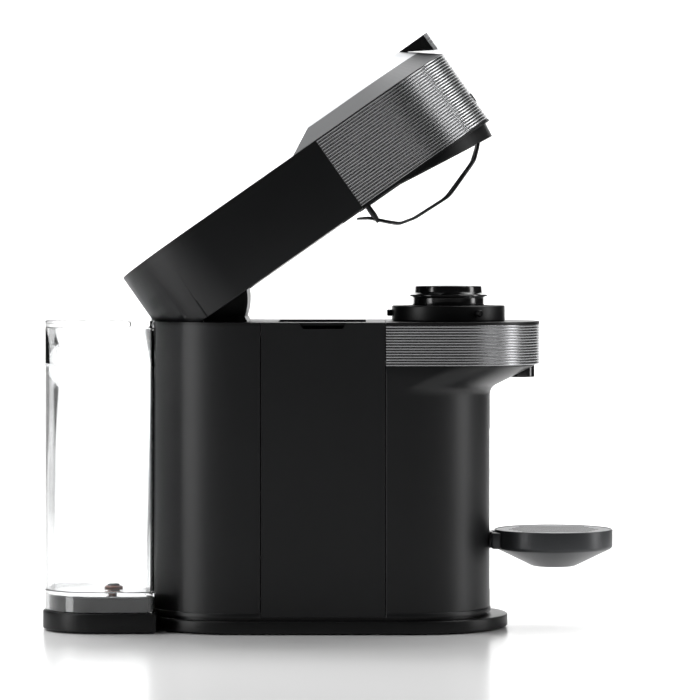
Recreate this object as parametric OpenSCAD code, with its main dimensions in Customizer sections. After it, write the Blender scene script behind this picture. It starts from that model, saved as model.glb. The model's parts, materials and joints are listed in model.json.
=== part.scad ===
// Pod coffee machine with a lifting, bayonet-locked brewing head.
// +X is the cup side, +Z is up, and the machine is symmetric about the XZ plane.

/* [Body] */
// Half width of the body
body_r = 69; // [66:0.5:70]
// Height of the body's top deck above the table
deck_z = 231.3; // [231:0.1:232]
// Wall thickness of the moulded shells
wall = 2.5; // [2:0.1:2.8]
// Front face of the column
column_front = 122; // [120:0.5:124]
// Height of the foot plate's top
plate_top = 10.3; // [9:0.1:11]

/* [Head] */
// Angle the head stands open at
head_open = 35; // [0:1:35]
// Height of the hinge shaft
hinge_z = 248; // [247.5:0.1:248.5]
// Distance of the hinge shaft behind the middle
hinge_back = 97.9; // [97:0.1:98.5]
// Top of the head's side walls when shut
head_wall_top = 294.4; // [294:0.1:296]
// Top of the silver plateau when shut
plateau_z = 314.5; // [313:0.1:316]
// Wire thickness of the ejector hoop
hoop_wire = 2.2; // [1.8:0.1:2.4]

/* [Brewing unit] */
// Distance of the brewing axis in front of the middle
brew_x = 90.5; // [90:0.1:91]
// Radius of the bayonet collar
collar_r = 42.8; // [42:0.1:43]
// Top of the capsule holder's rim
rim_z = 257.9; // [257:0.1:258]

/* [Tank and cup support] */
// Half width of the water tank
tank_w = 62; // [60:0.5:63]
// Top of the tank lid
tank_top = 232.5; // [231.5:0.1:232.6]
// Radius of the cup support
cup_r = 44.8; // [42:0.1:44.8]
// Height of the cup support's top
cup_z = 73.7; // [60:0.1:110]

/* [Hidden] */

$fn = 96;
eps = 0.01;
body_rear_c = -66.7;                     // centre of the body's round rear end
body_front_c = column_front - body_r;    // centre of its round front end
bay_rear = -50.4;                        // seams of the container bay
bay_front = 42.4;
hinge_x = -hinge_back;
inner_r = body_r - wall;
foot_h = 1;                              // the plate's clearance over the table
neck_top = 12.7;                         // shadow gap between plate and body
lip_top = 16;
deck_t = 2.1;                            // thickness of the top deck
band_bottom = 199;
cap_t = 1.8;
head_bottom = 232.8;                     // underside of the shut head
head_rear_c = -67.5;                     // centre of the arm's round tail
cover_wall = 2.2;
swing_gap = 0.8;                         // room round the swinging tail

// ---------- shared outlines ----------

// Long outline with round ends at x0 and x1
module stadium(x0, x1, r) {
    translate([x0, 0]) circle(r);
    translate([x1, 0]) circle(r);
    translate([x0, -r]) square([x1 - x0, 2 * r]);
}

// Outline that is square at x0 and round about xc
module dee(x0, xc, r) {
    intersection() {
        translate([xc, 0]) circle(r);
        translate([x0, -r]) square([xc - x0 + 2 * r, 2 * r]);
    }
    translate([x0, -r]) square([xc - x0, 2 * r]);
}

// Plate or prism between two heights
module slab(z0, z1) translate([0, 0, z0]) linear_extrude(z1 - z0) children();

// Side profile drawn in X and Z, as wide as w across the machine
module across(w) rotate([90, 0, 0]) linear_extrude(w, center = true) children();

// The same on both sides of the machine, from y0 to y1
module both_sides(y0, y1)
    for (s = [-1, 1]) translate([0, s * (y0 + y1) / 2, 0]) across(y1 - y0) children();

module box(x0, x1, y0, y1, z0, z1) translate([x0, y0, z0]) cube([x1 - x0, y1 - y0, z1 - z0]);

// Upright tube or rod
module tube(x, y, z0, z1, r, bore) translate([x, y, z0]) difference() {
    cylinder(r = r, h = z1 - z0);
    if (bore > 0) translate([0, 0, -1]) cylinder(r = bore, h = z1 - z0 + 2);
}

// Turns the shut head open about its shaft
module opened() translate([hinge_x, 0, hinge_z]) rotate([0, -head_open, 0])
    translate([-hinge_x, 0, -hinge_z]) children();

module on_brew_axis() translate([brew_x, 0, 0]) children();

// Hose along straight runs with ball corners
module run(points, r) {
    for (i = [0:len(points) - 2]) {
        d = points[i + 1] - points[i];
        translate(points[i]) rotate([0, acos(d[2] / norm(d)), atan2(d[1], d[0])])
            cylinder(r = r, h = norm(d), $fn = 24);
    }
    for (i = [1:len(points) - 2]) translate(points[i]) sphere(r = r + 0.2, $fn = 24);
}

// ---------- base ----------

foot_spots = [[-105, 40], [-105, -40], [100, 40], [100, -40]];
screw_spots = [[-70, 52], [-70, -52], [60, 52], [60, -52]];
inlet_x = -163.7;
hose_r = 2.5;
hose_rise_x = -118;
feed_y = 44;                             // where the pump's hose crosses under the bay
feed_z = 19;

module feed_hole() translate([-70, feed_y, feed_z]) rotate([0, 90, 0])
    cylinder(r = hose_r + 0.5, h = 130);

module base_plate() color("#121314") difference() {
    union() {
        slab(foot_h, plate_top) stadium(body_rear_c - 0.6, 64.3, 71);
        slab(plate_top, neck_top) stadium(body_rear_c, body_front_c, inner_r + 0.5);
    }
    difference() {
        slab(foot_h - 1, plate_top - 3) stadium(body_rear_c - 0.6, 64.3, 67);
        for (p = foot_spots) translate([p[0], p[1], 0]) cylinder(r = 11, h = plate_top);
    }
    for (p = foot_spots) translate([p[0], p[1], -1]) cylinder(r = 8.2, h = 4);
    for (p = screw_spots) translate([p[0], p[1], 0]) cylinder(r = 1.7, h = 20);
    translate([-150, 0, 5]) rotate([0, 90, 0]) cylinder(r = hose_r + 0.4, h = 40);
    translate([hose_rise_x, 0, 3]) cylinder(r = hose_r + 0.4, h = 20);
}

module rubber_feet() color("#1c1c1c") for (p = foot_spots) tube(p[0], p[1], 0, 3, 8, 0);

module base_screws() color("silver") for (p = screw_spots) {
    tube(p[0], p[1], plate_top - 5, plate_top - 3, 3, 0);
    tube(p[0], p[1], plate_top - 3, 22, 1.5, 0);
}

// Inner floor with screw bosses, the container's runners and the posts of pump and heater
module chassis_frame() color("#2b2d30") difference() {
    union() {
        slab(neck_top, 15.7) stadium(body_rear_c, body_front_c, inner_r - 0.6);
        for (p = screw_spots) tube(p[0], p[1], 15, 24, 4, 0);
        for (s = [-1, 1]) box(-40, 32, s * 30 - 3, s * 30 + 3, 15, 19.7);
        for (s = [-1, 1]) box(-100, -84, s * 38 - 2, s * 38 + 2, 15, 160);
        box(48, 51, -30, 30, 15, 150);
    }
    for (p = screw_spots) translate([p[0], p[1], 10]) cylinder(r = 1.55, h = 20);
    translate([hose_rise_x, 0, 3]) cylinder(r = hose_r + 0.4, h = 20);
}

// ---------- body shells ----------

// How far the tail reaches from the hinge shaft at distance y off the middle: its lower edge
// is rounded about the shaft so that it stays inside the body's outline as it turns
function tail_x(y) = hinge_x - head_rear_c + sqrt(body_r * body_r - y * y);
function tail_reach(y) = max(tail_x(y), min(norm([tail_x(y), head_bottom - hinge_z]), 17));
tail_half = 61;

// Round room about the shaft that the tail turns through, grown by g
module tail_turn(g) translate([hinge_x, 0, hinge_z]) rotate([90, 0, 0]) rotate_extrude()
    polygon(concat([[0, -tail_half - g]],
                   [for (i = [-12:12]) let(y = i * tail_half / 12)
                       [tail_reach(y) + g, y + sign(y) * g]],
                   [[0, tail_half + g]]));

module tail_room(g, front) intersection() {
    tail_turn(swing_gap + g);
    box(-160, front, -80, 80, 190, 290);
}

module rear_housing() color("#161718") difference() {
    union() {
        slab(neck_top, deck_z - deck_t) stadium(body_rear_c, body_front_c, body_r);
        slab(neck_top, lip_top) stadium(body_rear_c, body_front_c, body_r + 0.6);
    }
    slab(neck_top - 1, deck_z) intersection() {
        stadium(body_rear_c, body_front_c, inner_r);
        translate([-200, -100]) square([200 + bay_rear - wall, 200]);
    }
    slab(neck_top - 1, 15.9) stadium(body_rear_c, body_front_c, inner_r);
    box(bay_rear, 200, -100, 100, 0, 300);
    tail_room(0, hinge_x + 4);
    feed_hole();
    box(-64.1, -55.9, 60, 80, 21.9, 30.1);
}

// Top deck with the well that the arm's tail turns into and the capsules' drop opening
module rear_deck() color("#0d0e0f") difference() {
    union() {
        slab(deck_z - deck_t, deck_z) intersection() {
            stadium(body_rear_c, body_front_c, body_r);
            translate([-200, -100]) square([200 + bay_rear, 200]);
        }
        box(bay_rear - 1, bay_front - 0.2, -65.8, 65.8, deck_z - deck_t, deck_z);
        intersection() {
            tail_room(1.8, hinge_x + 5.8);
            slab(190, deck_z - 1) stadium(body_rear_c, body_front_c, inner_r - 0.2);
        }
    }
    tail_room(0, hinge_x + 4);
    box(-38, 28, -46, 46, 200, 240);
}

module finger_notch() across(200)
    polygon([[-23.3, deck_z + 1], [-18.8, 226.5], [10, 226.5], [14.4, deck_z + 1]]);

// Flat bay panel on one side: s is -1 near, 1 far
module bay_panel(s) difference() {
    box(bay_rear + 0.4, bay_front - 0.4, s > 0 ? inner_r : -body_r, s > 0 ? body_r : -inner_r,
        neck_top + 0.4, deck_z - 0.3);
    finger_notch();
}

module side_panel() color("#17181a") bay_panel(1);

// Levels of the funnel under the brewing unit: height and centre of its round front
funnel = [[176, 0], [180.1, 1.9], [184.1, 6.7], [189.2, 17.5], [198, 35]];

module funnel_slice(i, grow) translate([0, 0, funnel[i][0]]) linear_extrude(grow)
    dee(bay_front, body_front_c + funnel[i][1], body_r - (i == 4 ? 0.5 : 0), $fn = 64);

module front_column() color("#161718") difference() {
    union() {
        slab(neck_top, funnel[0][0] + 0.05) dee(bay_front, body_front_c, body_r);
        slab(neck_top, lip_top) dee(bay_front, body_front_c, body_r + 0.6);
        for (i = [0:3]) hull() {
            funnel_slice(i, 0.02);
            funnel_slice(i + 1, i == 3 ? 1 : 0.02);
        }
    }
    slab(neck_top - 1, 205) intersection() {
        dee(bay_front, body_front_c, inner_r);
        translate([bay_front + wall, -100]) square([200, 200]);
    }
    slab(neck_top - 1, 15.9) dee(bay_front - 1, body_front_c, inner_r);
    feed_hole();
    box(100, 130, -8.6, 8.6, 28, 150);
    translate([spout_x, 0, 180]) cylinder(r = spout_r + 0.2, h = 30);
}

// ---------- front and brewing unit ----------

spout_x = 146;
spout_r = 9.8;

module ribbed_band() color("#55575a") difference() {
    slab(band_bottom, deck_z - cap_t) dee(bay_front + 0.2, brew_x, body_r);
    slab(band_bottom - 1, deck_z) intersection() {
        dee(bay_front, brew_x, inner_r);
        translate([bay_front + wall, -100]) square([200, 200]);
    }
}

module band_cap() color("#0d0e0f") difference() {
    slab(deck_z - cap_t, deck_z) dee(bay_front + 0.2, brew_x, body_r);
    on_brew_axis() translate([0, 0, 220]) cylinder(r = 31.3, h = 20);
}

chamber_r = 45;

// Pan that catches the coffee, with its hub and the duct to the spout
module brew_chamber() color("#3a3c3f") difference() {
    union() {
        on_brew_axis() tube(0, 0, 203, deck_z - cap_t, chamber_r, 0);
        box(brew_x + chamber_r - 6, 154, -7, 7, 200, 210);
    }
    on_brew_axis() difference() {
        translate([0, 0, 206]) cylinder(r = chamber_r - 2.4, h = 30);
        translate([0, 0, 200]) cylinder(r = 16, h = 18);
    }
    on_brew_axis() translate([0, 0, 200]) cylinder(r = 12.05, h = 30);
    box(brew_x + chamber_r - 7, 151, -5, 5, 202, 208);
    translate([spout_x, 0, 190]) cylinder(r = 4, h = 15);
}

module holder_bearing() color("silver") on_brew_axis() tube(0, 0, 233, 240, 31.3, 27.05);

pin_angles = [60, 180, 300];
pin_tip = 46.5;                          // how far the pins reach from the brewing axis

module bayonet_collar() color("#141516") on_brew_axis() {
    tube(0, 0, deck_z, 243.2, collar_r, 31.3);
    for (a = pin_angles) rotate([0, 0, a]) translate([collar_r - 1, 0, 237.5]) rotate([0, 90, 0])
        cylinder(r = 2.5, h = pin_tip - collar_r + 1, $fn = 32);
}

module coffee_spout() color("#1b1c1e") difference() {
    translate([spout_x, 0, 188.8]) cylinder(r = spout_r, h = 11.2);
    for (s = [-1, 1]) translate([spout_x, s * 3.4, 188]) cylinder(r = 2, h = 8);
    translate([spout_x, 0, 193]) cylinder(r = 6, h = 8);
}

rail_x = 106;

module cup_rail() color("#2b2d30") difference() {
    box(rail_x, 117.8, -14, 14, 24, 156);
    box(rail_x + 2, 116.4, -12, 12, 23, 157);
    box(rail_x + 2, 120, -8.6, 8.6, 23, 157);
}

// ---------- inside the body ----------

module pump() color("#8a8d91") {
    tube(-92, 0, 50, 150, 21, 0);
    tube(-92, 0, 46, 50, 26, 0);
    tube(-92, 0, 150, 154, 26, 0);
    tube(-92, 0, 40, 46, 4, 0);
    tube(-92, 0, 154, 162, 4, 0);
}

module pump_mounts() color("#1c1c1c") for (z = [62, 130]) difference() {
    box(-98, -86, -36, 36, z, z + 10);
    translate([-92, 0, z - 1]) cylinder(r = 21, h = 12);
}

module heater() color("#b6b8bb") {
    box(51, 92, -24, 24, 50, 130);
    tube(74, 0, 40, 50, 4, 0);
    tube(74, 0, 130, 138, 4, 0);
}

module flow_meter() color("#e4e4e0") tube(hose_rise_x, 0, 26, 40, 11, 0);

// Tank to meter, meter to pump, pump to heater, heater up to the chamber
module water_hoses() color("#d8d8d2") {
    run([[inlet_x, 0, 12], [inlet_x, 0, 5], [hose_rise_x, 0, 5], [hose_rise_x, 0, 26]], hose_r);
    run([[hose_rise_x + 11, 0, 33], [-92, 0, 33], [-92, 0, 40]], hose_r);
    run([[-92, 0, 162], [-92, 0, 170], [-92, feed_y, 170], [-92, feed_y, feed_z],
         [74, feed_y, feed_z], [74, 0, feed_z], [74, 0, 40]], hose_r);
    run([[74, 0, 138], [74, 0, 150], [74, 30, 150], [74, 30, 203]], hose_r);
}

module main_board() color("#1f4d33") {
    box(-60, -58.4, -40, 40, 60, 180);
    for (s = [-1, 1]) for (z = [66, 174]) translate([-58.4, s * 34, z]) rotate([0, 90, 0])
        cylinder(r = 3, h = bay_rear - wall + 58.4, $fn = 24);
    box(-69, -60, -12, 12, 90, 110);
    for (z = [124, 139]) translate([-60, 20, z]) rotate([0, -90, 0]) cylinder(r = 6, h = 14);
}

module cable_gland() color("#111111") translate([-60, 0, 26]) rotate([-90, 0, 0]) difference() {
    union() {
        translate([0, 0, inner_r - 3]) cylinder(r = 4, h = wall + 3);
        translate([0, 0, body_r]) cylinder(r = 6.5, h = 1.8);
    }
    translate([0, 0, 60]) cylinder(r = 2.8, h = 20);
}

// ---------- tank seat ----------

tank_back = -213.5;
wing_x = -129.6;
tank_floor = 28;
skirt_bottom = 15.9;
tank_wall = 2;
seat_gap = 1.6;                          // room for the tank to tilt off its seat

// Tank plan: round rear corners, and a hollow front that follows the body's rear end
module tank_plan(inset) difference() {
    union() {
        for (s = [-1, 1]) translate([tank_back + 40, s * (tank_w - 40)]) circle(40 - inset);
        translate([tank_back + inset, -tank_w + 40])
            square([40, 2 * tank_w - 80]);
        translate([tank_back + 40, -tank_w + inset])
            square([wing_x - inset - tank_back - 40, 2 * (tank_w - inset)]);
    }
    translate([body_rear_c, 0]) circle(71 + inset);
}

module tank_pedestal() color("#0f1011") difference() {
    union() {
        slab(foot_h, skirt_bottom - 0.6) difference() {
            union() {
                tank_plan(-1.5);
                translate([-160, -50]) square([40, 100]);
            }
            translate([body_rear_c - 0.6, 0]) circle(71);
        }
        slab(skirt_bottom - 1, tank_floor - 1) tank_plan(tank_wall + seat_gap);
    }
    slab(foot_h - 1, tank_floor - 4) tank_plan(tank_wall + seat_gap + 2.5);
    translate([inlet_x, 0, 0]) cylinder(r = 9, h = 40);
    translate([-152, 0, 5]) rotate([0, 90, 0]) cylinder(r = hose_r + 0.4, h = 40);
}

// Stub with a lip that presses the tank valve open
module tank_inlet() color("#6b2f22") difference() {
    union() {
        tube(inlet_x, 0, 12, 17, 9, 0);
        tube(inlet_x, 0, 17, 20, 3, 0);
    }
    translate([inlet_x, 0, 10]) cylinder(r = hose_r, h = 4);
}

// ---------- head: shells ----------

module arm_shell() color("#17181a") opened() difference() {
    slab(head_bottom, head_wall_top) intersection() {
        stadium(head_rear_c, 53, body_r);
        translate([-200, -100]) square([200 + bay_front - 0.2, 200]);
    }
    slab(head_bottom - 1, head_wall_top - wall) stadium(head_rear_c, 60, inner_r);
    difference() {
        box(-160, hinge_x, -80, 80, head_bottom - 1, hinge_z);
        tail_turn(0.3);
    }
}

underside_x = -59.5;
hinge_post_y = 47.5;
skirt_pivot = [36, 241];

module arm_underside() color("#0f1011") opened() difference() {
    union() {
        box(underside_x, 24, -inner_r, inner_r, head_bottom, head_bottom + 2.4);
        both_sides(hinge_post_y, hinge_post_y + 3) polygon([[18, head_bottom + 1],
            [24, head_bottom + 1], [41, 237], [41, 246], [18, 246]]);
    }
    translate([skirt_pivot[0], 0, skirt_pivot[1]]) rotate([90, 0, 0])
        cylinder(r = 2.06, h = 120, center = true);
}

module head_cover() color("#55575a") opened() difference() {
    slab(head_bottom + 1.6, head_wall_top) dee(bay_front, brew_x, body_r);
    slab(head_bottom, head_wall_top + 1) dee(bay_front - 1, brew_x, body_r - cover_wall);
    translate([brew_x + body_r - 0.4, -9, 250]) cube([5, 18, 8]);
}

module head_rim() color("#0a0a0b") opened() difference() {
    slab(head_bottom, head_bottom + 1.6) dee(bay_front, brew_x, body_r);
    slab(head_bottom - 1, head_bottom + 3) dee(bay_front - 1, brew_x, body_r - cover_wall);
}

bezel_line = 305.5;                      // joint between bezel and plateau
plateau_r = 43;
top_slope = (plateau_z - head_wall_top) / (body_r - plateau_r);

// Flat-sided cone from the head's outline up to the plateau
module head_roof(inset, drop) hull() {
    slab(head_wall_top, head_wall_top + eps) dee(22 + inset, brew_x, body_r - inset, $fn = 96);
    slab(plateau_z - drop - eps, plateau_z - drop)
        dee(59.4 + inset, brew_x, plateau_r - inset / 2, $fn = 96);
}

module roof_band(z0, z1) intersection() {
    difference() {
        head_roof(0, 0);
        translate([0, 0, -eps]) head_roof(3, 3);
    }
    box(0, 200, -80, 80, z0, z1);
}

module head_bezel() color("#3f4144") opened() roof_band(head_wall_top, bezel_line);

// Sector of a ring about the brewing axis, drawn in radius and height
module sector(a0, a1) on_brew_axis() rotate([0, 0, a0]) rotate_extrude(angle = a1 - a0)
    children();

lever_half = 13;                         // half angle of the lever's width
lock_turn = 35;
button_r = 11;

module head_top() color("#c9cacb") opened() difference() {
    roof_band(bezel_line, plateau_z);
    sector(-lever_half - 1, lever_half + lock_turn + 1) translate([37.4, plateau_z - 2.1])
        square([7, 5]);
    sector(-lever_half + 2, lever_half + lock_turn - 2) translate([44, plateau_z - 12])
        square([5.4, 20]);
    on_brew_axis() translate([0, 0, 300]) cylinder(r = 14.5, h = 20);
}

module front_badge() color("silver") opened()
    box(brew_x + body_r - 0.4, brew_x + body_r + 0.1, -8.8, 8.8, 250.2, 257.8);

module head_chassis() color("#2b2d30") opened() difference() {
    slab(291.5, head_wall_top) dee(bay_front, brew_x, body_r - cover_wall);
    sector(-lever_half - 1, lever_half + lock_turn + 1) translate([41.6, 280]) square([8.4, 30]);
    on_brew_axis() translate([0, 0, 280]) cylinder(r = 12, h = 20);
}

guide_x = 46.5;
hoop_r = 55.5;
guide_y = sqrt(hoop_r * hoop_r - (brew_x - guide_x) * (brew_x - guide_x));

module hoop_guides() color("#2b2d30") opened()
    for (s = [-1, 1]) tube(guide_x, s * guide_y, 257.6, 291.5, 4, 1.86);

// ---------- head: works ----------

module brew_motor() color("#9a9da1") opened() on_brew_axis() tube(0, 0, 268, 288, 36, 3.05);

module motor_bracket() color("#3a3c3f") opened() on_brew_axis()
    tube(0, 0, 264, 291.5, 41.6, 36);

module control_board() color("#1f4d33") opened() {
    on_brew_axis() tube(0, 0, 298, 299.6, 19, 0);
    on_brew_axis() for (a = [45, 165, 285]) rotate([0, 0, a]) translate([16, 0, head_wall_top])
        cylinder(r = 2, h = 3.6, $fn = 24);
}

module light_ring() color("white") opened() on_brew_axis()
    tube(0, 0, 306, plateau_z, 14.5, button_r + 0.4);

barrel_y = [42, 52];

module hinge_barrels() color("#2b2d30") opened() both_sides(barrel_y[0], barrel_y[1])
    difference() {
        union() {
            translate([hinge_x, hinge_z]) circle(9);
            translate([hinge_x - 7, hinge_z]) square([14, head_wall_top - wall - hinge_z]);
        }
        translate([hinge_x, hinge_z]) circle(7);
    }

module hinge_bushes() color("#d8c9a0") both_sides(barrel_y[0], barrel_y[1]) difference() {
    translate([hinge_x, hinge_z]) circle(7);
    translate([hinge_x, hinge_z]) circle(5.06);
}

// Curved cover, two cheeks and a flared foot, all round the shaft's front
cradle_r = 37.5;
cheek_y = [34, 40];

module hinge_cradle() color("#111214") difference() {
    union() {
        both_sides(cheek_y[0], cheek_y[1]) union() {
            translate([hinge_x, hinge_z]) circle(12);
            intersection() {
                translate([hinge_x, hinge_z]) circle(cradle_r - 1.5);
                translate([hinge_x + 4, deck_z]) square([40, 34]);
            }
        }
        across(92) intersection() {
            difference() {
                translate([hinge_x, hinge_z]) circle(cradle_r);
                translate([hinge_x, hinge_z]) circle(cradle_r - 2.5);
            }
            translate([hinge_x + 20, deck_z]) square([40, 40]);
        }
        across(92) polygon([[hinge_x + 30, deck_z], [-60.5, deck_z], [-62.8, 235.4],
                            [hinge_x + 30, 235.4]]);
    }
    translate([hinge_x, 0, hinge_z]) rotate([90, 0, 0]) cylinder(r = 5.02, h = 120, center = true);
}

module hinge_shaft() color("silver") translate([hinge_x, 0, hinge_z]) rotate([90, 0, 0])
    cylinder(r = 5, h = 108, center = true);

module hinge_springs() color("#777a7d") for (s = [-1, 1]) for (i = [0:4])
    translate([hinge_x, s * (12 + 4 * i), hinge_z]) rotate([90, 0, 0])
        tube(0, 0, -1.5, 1.5, 9, 5.3);

// ---------- lock ----------

module lock_lever() color("#0c0c0d") opened() {
    sector(-lever_half, lever_half) polygon([[38, plateau_z - 0.1], [38, plateau_z - 1.7],
        [44, plateau_z - 1.7], [44, plateau_z - 0.7], [66.2, 300.2], [66.2, plateau_z - 0.1]]);
    sector(-lever_half + 4, lever_half - 4) translate([44.6, 288])
        square([3.8, plateau_z - 289]);
}

module lever_tip() color("silver") opened() sector(-lever_half, lever_half)
    polygon([[66.2, 300.2], [68.9, 299.2], [68.9, plateau_z - 0.1], [66.2, plateau_z - 0.1]]);

drum_r = 43.5;                           // inner radius of the lock drum

// Drum under the lever with the bayonet ring and its three lugs
module lock_ring() color("#6f7276") opened() on_brew_axis() {
    difference() {
        union() {
            translate([0, 0, 243.8]) cylinder(r = 51.3, h = 3);
            translate([0, 0, 244]) cylinder(r = drum_r + 2.2, h = 44);
        }
        translate([0, 0, 240]) cylinder(r = drum_r, h = 60);
    }
    tube(0, 0, 232, 245, 51.3, 48.3);
    for (a = [0, 120, 240]) rotate([0, 0, a - 29]) rotate_extrude(angle = 58)
        translate([drum_r, 232]) square([49 - drum_r, 2.2]);
    rotate([0, 0, 4 - lever_half]) rotate_extrude(angle = 2 * lever_half - 8)
        translate([drum_r + 1, 285]) square([47.4 - drum_r, 3]);
}

module coffee_button() color("#d9dadb") opened() on_brew_axis() {
    tube(0, 0, 303, plateau_z + 0.6, button_r, 0);
    tube(0, 0, 301.6, 303, 3, 0);
}

// ---------- skirt, hoop and rotor ----------

skirt_drop = 7.5;
skirt_r = 65.4;

module splash_skirt() color("#0e0f10") opened()
    translate([skirt_pivot[0], 0, skirt_pivot[1]]) rotate([0, skirt_drop, 0])
    translate([-skirt_pivot[0], 0, -skirt_pivot[1]]) {
        difference() {
            on_brew_axis() tube(0, 0, 237.6, 252, skirt_r, skirt_r - 2.6);
            box(0, 44, -80, 80, 230, 260);
        }
        both_sides(43.8, 46.8) translate([32, 237.6]) square([18, 7.6]);
        both_sides(43.8, 50.3) translate([skirt_pivot[0], skirt_pivot[1]]) circle(2);
    }

// Height of the hoop's wire at each distance in front of the middle, and the loop round
// the brewing axis that follows it
hoop_heights = [[35, 229], [42.7, 224.3], [50.4, 215.9], [58.5, 207.9], [70, 204.9],
                [98.3, 203.7], [102.4, 204.4], [126.3, 212.7], [131.7, 214.7], [140.5, 222],
                [146, 228]];
function hoop_point(a) = let(x = brew_x + hoop_r * cos(a))
    [x, hoop_r * sin(a), lookup(x, hoop_heights)];
hoop_steps = 64;
hoop_sides = 8;
hoop_verts = [for (i = [0:hoop_steps - 1]) let(a = i * 360 / hoop_steps, p = hoop_point(a),
        t = hoop_point(a + 1) - hoop_point(a - 1), u = [cos(a), sin(a), 0],
        w = cross(t, u) / norm(cross(t, u)), v = cross(w, t) / norm(cross(w, t)))
    for (j = [0:hoop_sides - 1]) p + hoop_wire / 2 *
        (v * cos(j * 360 / hoop_sides) + w * sin(j * 360 / hoop_sides))];
hoop_faces = [for (i = [0:hoop_steps - 1]) for (j = [0:hoop_sides - 1])
    let(n = (i + 1) % hoop_steps, k = (j + 1) % hoop_sides)
    [i * hoop_sides + j, n * hoop_sides + j, n * hoop_sides + k, i * hoop_sides + k]];

module ejector_hoop() color("#1a1a1b") opened() {
    polyhedron(hoop_verts, hoop_faces);
    for (s = [-1, 1]) tube(guide_x, s * guide_y, 219.5, 260.8, 1.8, 0);
}

module brew_rotor() color("#8a8d91") opened() on_brew_axis() {
    tube(0, 0, 260.2, 266, 27, 0);
    tube(0, 0, 266, 290, 3, 0);
}

module brew_seal() color("#8a8d91") opened() on_brew_axis() tube(0, 0, 258.2, 260.2, 25, 21.5);

module needle_plate() color("silver") opened() on_brew_axis() {
    tube(0, 0, 258.8, 260.2, 20, 0);
    for (a = [0, 120, 240]) rotate([0, 0, a]) translate([15, 0, 253])
        cylinder(r1 = 0.4, r2 = 1.4, h = 5.8, $fn = 24);
}

// ---------- capsule holder and container ----------

module capsule_holder() color("#101112") on_brew_axis() difference() {
    rotate_extrude() polygon([[0, 203], [12, 203], [12, 226], [27, 228], [27, 249.6],
        [29.8, 250.2], [29.8, 251.2], [27, 251.8], [25.6, 253], [25.3, rim_z], [0, rim_z]]);
    translate([0, 0, 230.5]) cylinder(r = 22.6, h = 40);
}

module capsule_container() color("#1d1e20") difference() {
    box(-46, 38, -inner_r, 60, 22.4, 221);
    box(-44, 36, -inner_r + 2, 58, 24.4, 230);
}

module container_panel() color("#17181a") bay_panel(-1);

// ---------- tank ----------

// The tank tilts back about the round bead along its rear lower edge
bead_r = 1.5;
bead_w = 40;

module water_tank() color("#dfe7ea", 0.35) {
    difference() {
        slab(skirt_bottom, 227) tank_plan(0);
        slab(tank_floor + 2.2, 230) tank_plan(tank_wall);
        slab(skirt_bottom - 1, tank_floor) tank_plan(tank_wall);
        translate([inlet_x, 0, 20]) cylinder(r = 4.2, h = 20);
        box(tank_back - 1, tank_back + 4, -bead_w / 2, bead_w / 2, 15, skirt_bottom + bead_r);
    }
    across(bead_w) translate([tank_back + bead_r, skirt_bottom + bead_r]) circle(bead_r);
}

module tank_valve() color("#7b3a2a") {
    tube(inlet_x, 0, tank_floor + 2.2, 34, 7, 0);
    tube(inlet_x, 0, 22, tank_floor + 2.2, 4.1, 0);
}

lid_split = -146.3;
lid_pin_r = 2.4;                         // rolled edge that the lid turns on
lid_pin_x = lid_split - lid_pin_r - 0.4;

// Fixed front strip of the lid stays on the tank, the rear flap hinges on it
module lid_plate(x0, x1) slab(227, tank_top) intersection() {
    tank_plan(0);
    translate([x0, -100]) square([x1 - x0, 200]);
}

module lid_strip() color("#dfe7ea", 0.35) lid_plate(lid_split, -100);

module tank_lid() color("#dfe7ea", 0.35) {
    lid_plate(-300, lid_pin_x);
    across(2 * tank_w) translate([lid_pin_x, (227 + tank_top) / 2]) circle(lid_pin_r);
}

// ---------- cup support ----------

cup_x = 215 - cup_r;
neck_x = 116.1;                          // the neck leaves the rail here
collar_x = 122.4;                        // and widens here, in front of the column

module cup_support() color("#2d2f32") difference() {
    union() {
        translate([cup_x, 0, cup_z - 28]) rotate_extrude() polygon([[0, 0], [16.1, 0],
            [cup_r, 14], [cup_r, 28], [cup_r - 1.6, 28], [cup_r - 1.6, 26], [cup_r - 4, 26],
            [cup_r - 4, 17.5], [14, 6], [0, 6]]);
        box(neck_x, cup_x - cup_r + 8, -8, 8, cup_z - 14, cup_z - 2);
        box(collar_x, cup_x - cup_r + 6, -20, 20, cup_z - 14, cup_z - 2);
        box(rail_x + 2.3, neck_x, -11.7, 11.7, cup_z - 20, cup_z - 2);
    }
    translate([cup_x, 0, cup_z - 10]) cylinder(r = cup_r - 4, h = 20);
}

module drip_grid() color("#6d7074") difference() {
    tube(cup_x, 0, cup_z - 2, cup_z - 0.4, cup_r - 2, 0);
    for (i = [-3:3]) box(cup_x - 34 + abs(i) * 3, cup_x + 34 - abs(i) * 3, i * 9 - 1.6, i * 9 + 1.6,
                         cup_z - 3, cup_z);
}

base_plate();
rubber_feet();
base_screws();
chassis_frame();
rear_housing();
rear_deck();
hinge_cradle();
hinge_shaft();
hinge_springs();
side_panel();
front_column();
ribbed_band();
band_cap();
brew_chamber();
holder_bearing();
bayonet_collar();
coffee_spout();
cup_rail();
pump();
pump_mounts();
heater();
flow_meter();
water_hoses();
main_board();
tank_pedestal();
tank_inlet();
cable_gland();
arm_shell();
arm_underside();
head_cover();
head_rim();
head_bezel();
head_top();
front_badge();
head_chassis();
hoop_guides();
brew_motor();
motor_bracket();
control_board();
light_ring();
hinge_barrels();
hinge_bushes();
lock_lever();
lever_tip();
lock_ring();
coffee_button();
splash_skirt();
ejector_hoop();
brew_rotor();
brew_seal();
needle_plate();
capsule_holder();
capsule_container();
container_panel();
water_tank();
tank_valve();
lid_strip();
tank_lid();
cup_support();
drip_grid();
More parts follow.
